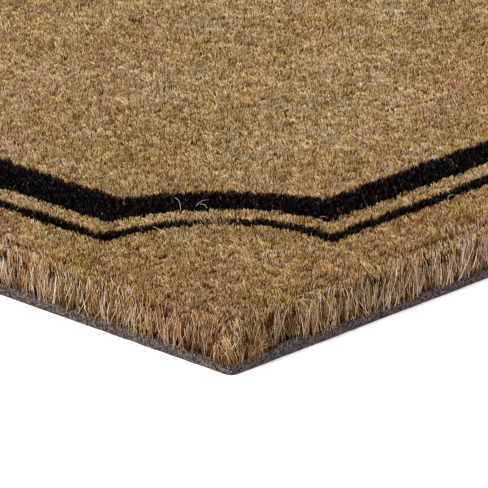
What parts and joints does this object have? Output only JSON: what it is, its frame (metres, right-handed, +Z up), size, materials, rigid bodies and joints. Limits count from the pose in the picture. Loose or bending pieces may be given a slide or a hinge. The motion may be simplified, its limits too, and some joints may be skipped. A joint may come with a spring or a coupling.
{
  "type": "door mat",
  "caption": "Rectangular coir door mat with a dense upright fibre pile, a dyed double border with scooped corners, and a flat PVC backing.",
  "frame": {"origin": "centre of the mat's underside, on the floor", "axes": "+X along the long side, +Y along the short side, +Z up through the backing and the pile"},
  "size_m": [0.914, 0.61, 0.022],
  "materials": {
    "natural_coir": "matte",
    "dyed_coir": "matte",
    "pvc": "matte"
  },
  "bodies": {
    "root": {"pvc_backing": "pvc", "margin_pile": "natural_coir", "thin_border_pile": "dyed_coir", "gap_pile": "natural_coir", "thick_border_pile": "dyed_coir", "centre_pile": "natural_coir"}
  },
  "joints": []
}
